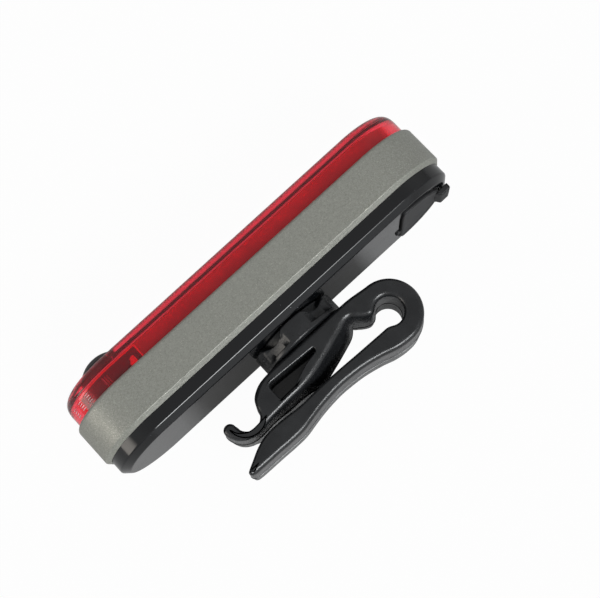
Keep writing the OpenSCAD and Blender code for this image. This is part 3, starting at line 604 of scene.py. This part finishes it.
# both arms' outlines, each opened at the split behind the loop, make one closed line;
# the edge's radius is held under the outline's own, and grows towards the hook's end
def springClip():
    s = clipSet
    inner, *pockets = sideLoops("clip_inner_arm", armHigh[2])
    outer = sideLoops("clip_outer_arm", armHigh[2])[0]
    inner, outer = openLoop(inner), openLoop(outer)
    line = smoothLoop(np.concatenate([inner, outer]), s["step"], s["soften"])
    length = np.abs(np.diff(line)).sum()
    near = sum(np.exp(-(np.abs(line - complex(*corner)) / s["neckR"]) ** 2) for corner in s["neck"])
    line = line + (lowPass(line, length, s["neckSoften"]) - line) * np.minimum(near, 1)
    normal, turning = outward(line)
    hook = np.clip((line.real - s["hookFrom"]) / 2, 0, 1) * (line.imag < armHigh[1] - 0.4)
    inner = (line.imag < armHigh[1] + 0.2) * np.clip(normal.imag * 3, 0, 1)
    throat = inZone(inner, line.real, *s["throatZone"])
    jaw = inZone(inner, line.real, *s["jawZone"])
    bulge = inZone(1, line.real, *s["bulgeZone"]) * np.clip(-normal.imag * 2 + 0.6, 0, 1)
    lip = inZone(inner, line.real, *s["lipZone"])
    edge = s["edge"] + (s["hookEdge"] - s["edge"]) * hook + (s["throatEdge"] - s["edge"]) * throat
    edge = edge + (s["bulgeEdge"] - s["edge"]) * bulge * (line.imag < armHigh[1] - 2)
    edge = np.minimum(edge, 0.75 / np.maximum(turning, 0.2))
    edge = lowPass(edge, length, 0.5).real
    rims = [(smoothLoop(p, 0.15, 0.2), s["pocketDepth"]) for p in pockets]
    swell = lowPass(np.maximum(s["swell"] * throat, s["lipSwell"] * lip), length, 1.0).real
    draft = s["draft"] + lowPass(s["topIn"] * throat, length, 1.0).real
    lean = lowPass(s["lean"] * jaw, length, 1.0).real
    return roundedPlate(line, armHigh[2] - midZ, edge, rims, draft, s["seam"], swell=swell, lean=lean)


# turns a loop round so that its longest edge behind the clip's loop, where the arms part, is the gap between its ends
def openLoop(points):
    ahead = np.roll(points, -1, axis=0)
    level = np.abs(points[:, 1] - ahead[:, 1]) < 0.01
    behind = (points[:, 0] < clipSet["splitBehind"]) & (ahead[:, 0] < clipSet["splitBehind"])
    span = np.abs(points[:, 0] - ahead[:, 0]) * level * behind
    return np.roll(points, -np.argmax(span) - 1, axis=0)


clip = makePiece("springClip", springClip(), 40)
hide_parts("clip_inner_arm", "clip_outer_arm")
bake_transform(clip)
print("clip: %d faces" % len(clip.data.polygons))

# charging flap: a plate with a round end and a straight hinge edge, a pull tab and a plug underneath
flapSet = dict(radius=8.8, stand=0.5, thick=1.05, edge=0.3, dish=0.12, tabL=3.2, tabW=6, tabRound=0.5,
               plugX=0.65, plugZ=3.05)


# rings of the outline (a circle cut off at the hinge, from the plate's middle) shrink towards the middle;
# the edge is a fillet, and the top is dished a little inside its rim
def chargeFlap():
    s = flapSet
    hingeX = flapHigh[0]
    topY = backHigh[1] + s["stand"]
    lowY = topY - s["thick"]
    middle = (-spineEnd - s["radius"] + hingeX) / 2
    angle = np.linspace(0, 2 * np.pi, 200, endpoint=False)
    ux, uz = np.cos(angle), np.sin(angle)
    offset = -spineEnd - middle
    circle = ux * offset + np.sqrt(s["radius"] ** 2 - offset ** 2 * uz ** 2)
    reach = softMin(circle, (hingeX - middle) / np.maximum(ux, 0.02), 18)
    bend = np.linspace(0, np.pi / 2, 6)
    inset = [3.2, 1.5, 1.15, 0.8, s["edge"] + 0.1] + list(s["edge"] * (1 - np.sin(bend)))
    drop = [s["dish"], s["dish"], s["dish"] * 0.75, 0, 0] + list(s["edge"] * (1 - np.cos(bend)))
    inset += [0, 0.05, 0.15, 3]
    drop += [s["thick"] - 0.15, s["thick"] - 0.05, s["thick"], s["thick"]]
    rows = np.stack([np.stack([middle + ux * np.maximum(reach - i, 0.5), topY - d + 0 * ux,
                               midZ + uz * np.maximum(reach - i, 0.5)], -1) for i, d in zip(inset, drop)])
    pole = np.array([[[middle, topY - s["dish"], midZ]]]) + 0 * rows[:1]
    base = np.array([[[middle, lowY, midZ]]]) + 0 * rows[:1]
    parts = [ringPart(np.concatenate([pole, rows, base]), False)]
    tip = flapLow[0]
    nub = flapHigh[1]
    tab = filletPath([(tip, backHigh[1] + 0.3), (tip + s["tabL"], backHigh[1] + 0.3), (tip + s["tabL"], topY - 0.1),
                      (tip + s["tabL"] - 0.8, nub), (tip, nub)],
                     [0.15, 0, 0, 0.35, s["tabRound"]], hold=0.1)
    parts += roundedPlate(smoothLoop(tab, 0.1, 0.06), s["tabW"] / 2, 0.32, support=0.1)
    socketMid = (socketLow[0] + socketHigh[0]) / 2
    plug = filletPath([(socketMid - s["plugX"], flapLow[1]), (socketMid + s["plugX"], flapLow[1]),
                       (socketMid + s["plugX"], lowY + 0.1), (socketMid - s["plugX"], lowY + 0.1)],
                      [0.2, 0.2, 0, 0], hold=0.05)
    parts += roundedPlate(smoothLoop(plug, 0.1, 0.03), s["plugZ"], 0.2, support=0.1)
    return parts


flap = makePiece("chargeFlap", chargeFlap(), 36)
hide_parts("usb_flap")
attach(flap, "flap")

# flap's anchor: a small domed peg, a little closer to the flap than its solid
pegSet = dict(towardsFlap=0.6, topRound=0.35, footRound=0.1)
pegR = (tetherHigh[0] - tetherLow[0]) / 2
pegX = (tetherLow[0] + tetherHigh[0]) / 2 - pegSet["towardsFlap"]
pegZ = (tetherLow[2] + tetherHigh[2]) / 2
pegProfile = filletPath([(0, tetherHigh[1]), (pegR, tetherHigh[1]), (pegR, tetherLow[1]), (0, tetherLow[1])],
                        [0, pegSet["topRound"], pegSet["footRound"], 0], closed=False)
peg = makePiece("flapPeg", [ringPart(spin(pegProfile, pegX, pegZ, 40), False)])
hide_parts("flap_tether")
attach(peg, "light_body")
print("flap and peg made")


# a value in a material's node tree; sums and products of values add Math nodes
class Value:
    def __init__(self, tree, socket=None):
        self.tree = tree
        self.socket = socket

    def node(self, kind, settings=None, sockets=None, out=0):
        made = self.tree.nodes.new(kind)
        for key, setting in (settings or {}).items():
            if key == "stops":
                ramp = made.color_ramp
                while len(ramp.elements) < len(setting):
                    ramp.elements.new(0.5)
                for element, (at, colour) in zip(ramp.elements, setting):
                    element.position = at
                    element.color = (*colour, 1) if len(colour) == 3 else colour
            else:
                setattr(made, key, setting)
        for key, content in (sockets or {}).items():
            if isinstance(content, Value):
                self.tree.links.new(content.socket, made.inputs[key])
            else:
                made.inputs[key].default_value = content
        return Value(self.tree, made.outputs[out] if len(made.outputs) else None)

    def math(self, operation, a, b):
        return self.node("ShaderNodeMath", {"operation": operation}, {0: a, 1: b})

    def __add__(self, other):
        return self.math("ADD", self, other)

    def __sub__(self, other):
        return self.math("SUBTRACT", self, other)

    def __rsub__(self, other):
        return self.math("SUBTRACT", other, self)

    def __mul__(self, other):
        return self.math("MULTIPLY", self, other)

    def __gt__(self, other):
        return self.math("GREATER_THAN", self, other)

    def __lt__(self, other):
        return self.math("LESS_THAN", self, other)

    __radd__ = __add__
    __rmul__ = __mul__


# starts a material: its empty tree's Value, Object coordinates and a function that closes it with a Principled shader
def startFinish(name):
    material = bpy.data.materials.new(name)
    material.use_nodes = True
    tree = material.node_tree
    tree.nodes.clear()
    v = Value(tree)
    place = v.node("ShaderNodeTexCoord", out="Object")

    def close(**sockets):
        shader = v.node("ShaderNodeBsdfPrincipled", sockets={k.replace("_", " "): s for k, s in sockets.items()})
        v.node("ShaderNodeOutputMaterial", sockets={"Surface": shader})
        return material

    return v, place, close


# mottling of some size in millimetres, from 0 to 1
def mottle(v, place, size, detail=3.0, out="Fac"):
    return v.node("ShaderNodeTexNoise", sockets={"Vector": place, "Scale": 1 / (size * mm), "Detail": detail},
                  out=out)


# share of a Value between two limits, from 0 to 1
def between(v, value, low, high):
    return v.node("ShaderNodeMapRange", sockets={"Value": value, "From Min": low, "From Max": high})


# colour a at share 0, colour b at share 1, and evenly between
def mixColour(v, share, a, b):
    return v.node("ShaderNodeMix", {"data_type": "RGBA"}, {"Factor": share, 6: a, 7: b}, out=2)


# surface direction tilted by the slope of a height, which rises by some distance in millimetres
def bumped(v, height, distance, strength=1.0):
    return v.node("ShaderNodeBump", sockets={"Height": height, "Distance": distance * mm, "Strength": strength},
                  out="Normal")


# a colour with full cover
def rgba(r, g, b):
    return (r, g, b, 1.0)


# clear red moulding: tint deepens a little in slow flow marks; faint handling haze on the surface; a deeper red
# painted as shade along the crease, and a pale metallic coat painted on the dashes as glints
def redLensFinish():
    v, place, close = startFinish("redLens")
    flow = mottle(v, place, 9, 1.0)
    haze = mottle(v, place, 2.5, 4.0)
    frost = v.node("ShaderNodeAttribute", {"attribute_name": "frost"}, out="Fac")
    crease = v.node("ShaderNodeAttribute", {"attribute_name": "crease"}, out="Fac")
    tint = mixColour(v, between(v, flow, 0.35, 0.65), rgba(0.92, 0.042, 0.075), rgba(0.97, 0.052, 0.085))
    dash = v.node("ShaderNodeAttribute", {"attribute_name": "dash"}, out="Fac")
    # painted shade: deeper red, and rougher, along the crease
    tint = mixColour(v, crease, tint, rgba(0.7, 0.025, 0.045))
    # painted glint: pale, mostly metallic coat on the raised dashes
    tint = mixColour(v, dash, tint, rgba(0.95, 0.82, 0.84))
    rough = between(v, haze, 0.3, 0.9) * 0.05 + frost * 0.15 + dash * 0.25 + crease * 0.3 + 0.015
    return close(Base_Color=tint, Roughness=rough, Metallic=dash * 0.85, IOR=1.49, Transmission_Weight=0.92)


# metallic lacquer: flakes of about 0.15 mm, each with its own brightness, in a satin coat with fine orange peel
def greyBandFinish():
    v, place, close = startFinish("greyBand")
    flake = v.node("ShaderNodeTexVoronoi", sockets={"Vector": place, "Scale": 1 / (0.15 * mm)}, out="Color")
    spark = v.node("ShaderNodeSeparateColor", sockets={"Color": flake}, out=0)
    grain = mottle(v, place, 0.5, 3.0)
    glint = (spark > 0.97) * 0.6
    share = spark * 0.4 + grain * 0.3 + glint
    tone = mixColour(v, between(v, share, 0.05, 1.0), rgba(0.19, 0.194, 0.172), rgba(0.42, 0.425, 0.38))
    return close(Base_Color=tone, Metallic=0.22 + glint, Roughness=0.48 - spark * 0.12,
                 Normal=bumped(v, grain, 0.012, 0.7))


# polished black moulding: smudges dull the gloss, with a few pale dust specks
def glossBlackFinish():
    v, place, close = startFinish("glossBlack")
    smudge = between(v, mottle(v, place, 6, 4.0), 0.42, 0.68)
    specks = v.node("ShaderNodeTexVoronoi", sockets={"Vector": place, "Scale": 1 / (1.6 * mm)}, out="Distance")
    dust = (specks < 0.045) * between(v, mottle(v, place, 7, 2.0), 0.45, 0.6)
    tone = mixColour(v, dust, rgba(0.005, 0.0055, 0.0065), rgba(0.16, 0.17, 0.18))
    return close(Base_Color=tone, Roughness=0.07 + smudge * 0.09 + dust * 0.4, IOR=1.5)


# satin black moulding with a fine spark-eroded grain, worn a little glossier in patches
def satinBlackFinish():
    v, place, close = startFinish("satinBlack")
    grain = mottle(v, place, 0.16, 2.0)
    patch = mottle(v, place, 3.5, 3.0)
    tone = mixColour(v, between(v, patch, 0.35, 0.7), rgba(0.011, 0.0118, 0.013), rgba(0.018, 0.019, 0.0205))
    return close(Base_Color=tone, Roughness=0.2 + between(v, patch, 0.3, 0.75) * 0.1, IOR=1.5,
                 Normal=bumped(v, grain, 0.03, 0.6))


# matt soft moulding
def rubberFinish():
    v, place, close = startFinish("blackRubber")
    grain = mottle(v, place, 0.22, 2.0)
    patch = mottle(v, place, 2.8, 3.0)
    tone = mixColour(v, between(v, patch, 0.35, 0.7), rgba(0.009, 0.009, 0.01), rgba(0.019, 0.0195, 0.021))
    return close(Base_Color=tone, Roughness=0.5 + patch * 0.14, Normal=bumped(v, grain, 0.02, 0.5))


# plain inner mouldings and boards: a base colour with mottling, and its own roughness and grain
def plainFinish(name, low, high, rough, size=1.2, grainDepth=0.012, metallic=0.0):
    v, place, close = startFinish(name)
    patch = mottle(v, place, size, 3.0)
    grain = mottle(v, place, size * 0.2, 2.0)
    tone = mixColour(v, between(v, patch, 0.3, 0.7), rgba(*low), rgba(*high))
    return close(Base_Color=tone, Roughness=rough - 0.08 + grain * 0.16, Metallic=metallic,
                 Normal=bumped(v, grain, grainDepth, 0.5))


# lamp coating: yellow silicone with its chips showing as paler squares under it
def phosphorFinish():
    v, place, close = startFinish("lampPhosphor")
    split = v.node("ShaderNodeSeparateXYZ", sockets={"Vector": place}, out="X")
    wave = v.math("PINGPONG", split, 1.5 * mm)
    chip = between(v, wave, 0.9 * mm, 1.1 * mm)
    tone = mixColour(v, chip, rgba(0.72, 0.5, 0.07), rgba(0.85, 0.64, 0.16))
    return close(Base_Color=tone, Roughness=0.42 + mottle(v, place, 0.5) * 0.1)


# wires: red on the upper side of the light, black on the lower side
def wireFinish():
    v, place, close = startFinish("wireSheath")
    height = v.node("ShaderNodeSeparateXYZ", sockets={"Vector": place}, out="Z")
    tone = mixColour(v, height > midZ * mm, rgba(0.015, 0.015, 0.016), rgba(0.45, 0.02, 0.02))
    return close(Base_Color=tone, Roughness=0.4 + mottle(v, place, 0.6) * 0.12)


# puts a finish on a piece or a solid of the frame
def dress(item, material):
    item.data.materials.clear()
    item.data.materials.append(material)


satin = satinBlackFinish()
rubber = rubberFinish()
dress(lens, redLensFinish())
dress(band, greyBandFinish())
dress(rear, glossBlackFinish())
for item in (clip, puck):
    dress(item, satin)
for item in (flap, peg, button):
    dress(item, rubber)
steel = plainFinish("platedSteel", (0.5, 0.51, 0.52), (0.62, 0.63, 0.64), 0.32, 0.8, 0.006, 1.0)
chipBlack = plainFinish("chipBlack", (0.016, 0.016, 0.017), (0.03, 0.03, 0.03), 0.5)
insideFinishes = {
    "joint_seal": rubber,
    "chassis": plainFinish("darkChassis", (0.012, 0.012, 0.013), (0.02, 0.02, 0.021), 0.45),
    "chassis_screws": steel,
    "reflector": plainFinish("whiteReflector", (0.84, 0.84, 0.82), (0.9, 0.9, 0.88), 0.4),
    "led_board": plainFinish("boardWhite", (0.74, 0.74, 0.71), (0.82, 0.82, 0.79), 0.45),
    "cob_strip": phosphorFinish(),
    "tact_switch": chipBlack,
    "main_board": plainFinish("boardGreen", (0.015, 0.13, 0.05), (0.025, 0.19, 0.07), 0.4),
    "control_chips": chipBlack,
    "usb_socket": steel,
    "battery_cell": plainFinish("cellFoil", (0.55, 0.56, 0.58), (0.68, 0.69, 0.71), 0.35, 2.5, 0.03, 0.9),
    "battery_pad": plainFinish("padFoam", (0.025, 0.025, 0.025), (0.045, 0.045, 0.045), 0.9, 0.5, 0.06),
    "battery_leads": wireFinish(),
    "led_leads": wireFinish(),
    "swivel_washer": plainFinish("washerNylon", (0.7, 0.7, 0.65), (0.78, 0.78, 0.73), 0.5),
    "swivel_bolt": steel,
}
for node, finish in insideFinishes.items():
    dress(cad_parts[node], finish)
print("finishes: %d" % len(bpy.data.materials))

# camera at the photograph's place, on the 600 x 598 frame
cameraSet = dict(place=(22.80, 52.19, 281.97), right=(-0.73294, 0.67901, -0.04186), up=(-0.67264, -0.71412, 0.19386),
                 forward=(-0.10174, -0.17025, -0.98014), lens=84, sensor=36)
camera = bpy.data.objects.new("camera", bpy.data.cameras.new("camera"))
bpy.context.scene.collection.objects.link(camera)
camera.data.lens = cameraSet["lens"]
camera.data.sensor_width = cameraSet["sensor"]
camera.data.clip_start = 0.01
turn = Matrix((cameraSet["right"], cameraSet["up"], [-f for f in cameraSet["forward"]])).transposed()
camera.matrix_world = Matrix.Translation(Vector(cameraSet["place"]) * mm) @ turn.to_4x4()
bpy.context.scene.camera = camera

# floor: white to the eye and in reflections, with a share of plain matt white that keeps the shadow
stageSet = dict(size=3.0, drop=0.05, seen=0.97, mirrored=0.05, white=1.0)
floorMesh = bpy.data.meshes.new("floor")
half = stageSet["size"] / 2
floorMesh.from_pydata([(-half, -half, -stageSet["drop"] * mm), (half, -half, -stageSet["drop"] * mm),
                       (half, half, -stageSet["drop"] * mm), (-half, half, -stageSet["drop"] * mm)],
                      [], [(0, 1, 2, 3)])
floor = bpy.data.objects.new("floor", floorMesh)
bpy.context.scene.collection.objects.link(floor)


# matt white mixed with plain white light: the light's share is one for seen and clear rays, another for mirrored rays
def floorFinish():
    material = bpy.data.materials.new("whiteFloor")
    material.use_nodes = True
    tree = material.node_tree
    tree.nodes.clear()
    v = Value(tree)
    seen = [v.node("ShaderNodeLightPath", out=name) for name in
            ("Is Camera Ray", "Is Glossy Ray", "Is Transmission Ray")]
    share = (seen[0] + seen[2]) * stageSet["seen"] + seen[1] * stageSet["mirrored"]
    share = v.math("MINIMUM", share, stageSet["seen"])
    matt = v.node("ShaderNodeBsdfDiffuse", sockets={"Color": rgba(0.55, 0.55, 0.55)})
    white = v.node("ShaderNodeEmission", sockets={"Color": rgba(1, 1, 1), "Strength": stageSet["white"]})
    mixed = v.node("ShaderNodeMixShader", sockets={0: share, 1: matt, 2: white})
    v.node("ShaderNodeOutputMaterial", sockets={"Surface": mixed})
    return material


dress(floor, floorFinish())

# studio light: a dim sky with three wide soft lights, each a direction, the angles of its full core and of its edge,
# its brightness and its colour
skySet = dict(stops=((0.0, 0.32), (0.25, 0.42), (0.5, 0.52), (0.7, 0.52), (0.88, 0.44), (1.0, 0.4)))
lampSet = (dict(towards=(0.0, 0.72, 0.69), core=6, edge=14, level=17.0, colour=(0.97, 0.99, 1.0)),
           dict(towards=(0.96, -0.15, 0.2), core=4, edge=21, level=3.2, colour=(1.0, 0.94, 0.86)),
           dict(towards=(-0.1, 0.98, 0.12), core=8, edge=38, level=0.45, colour=(0.93, 0.97, 1.0)))


# brightness by direction: the sky's by height, plus each light's, which falls smoothly from its core to its edge
def studioLight():
    world = bpy.data.worlds.new("studio")
    bpy.context.scene.world = world
    world.use_nodes = True
    world.node_tree.nodes.clear()
    v = Value(world.node_tree)
    direction = v.node("ShaderNodeTexCoord", out="Generated")
    height = v.node("ShaderNodeSeparateXYZ", sockets={"Vector": direction}, out="Z")
    light = v.node("ShaderNodeValToRGB", {"stops": [(at, (level,) * 3) for at, level in skySet["stops"]]},
                   {"Fac": height})
    for lamp in lampSet:
        near = v.node("ShaderNodeVectorMath", {"operation": "DOT_PRODUCT"},
                      {0: direction, 1: Vector(lamp["towards"]).normalized()}, out="Value")
        share = v.node("ShaderNodeMapRange", {"interpolation_type": "SMOOTHSTEP"},
                       {"Value": near, "From Min": np.cos(np.radians(lamp["edge"])),
                        "From Max": np.cos(np.radians(lamp["core"])), "To Max": lamp["level"]})
        glow = v.node("ShaderNodeVectorMath", {"operation": "SCALE"}, {0: lamp["colour"], "Scale": share})
        light = v.node("ShaderNodeVectorMath", {"operation": "ADD"}, {0: light, 1: glow})
    sky = v.node("ShaderNodeBackground", sockets={"Color": light, "Strength": 1.0})
    v.node("ShaderNodeOutputWorld", sockets={"Surface": sky})


studioLight()
print("studio: %d lights" % len(lampSet))

bpy.context.scene.view_settings.view_transform = "Standard"
print("scene ready")
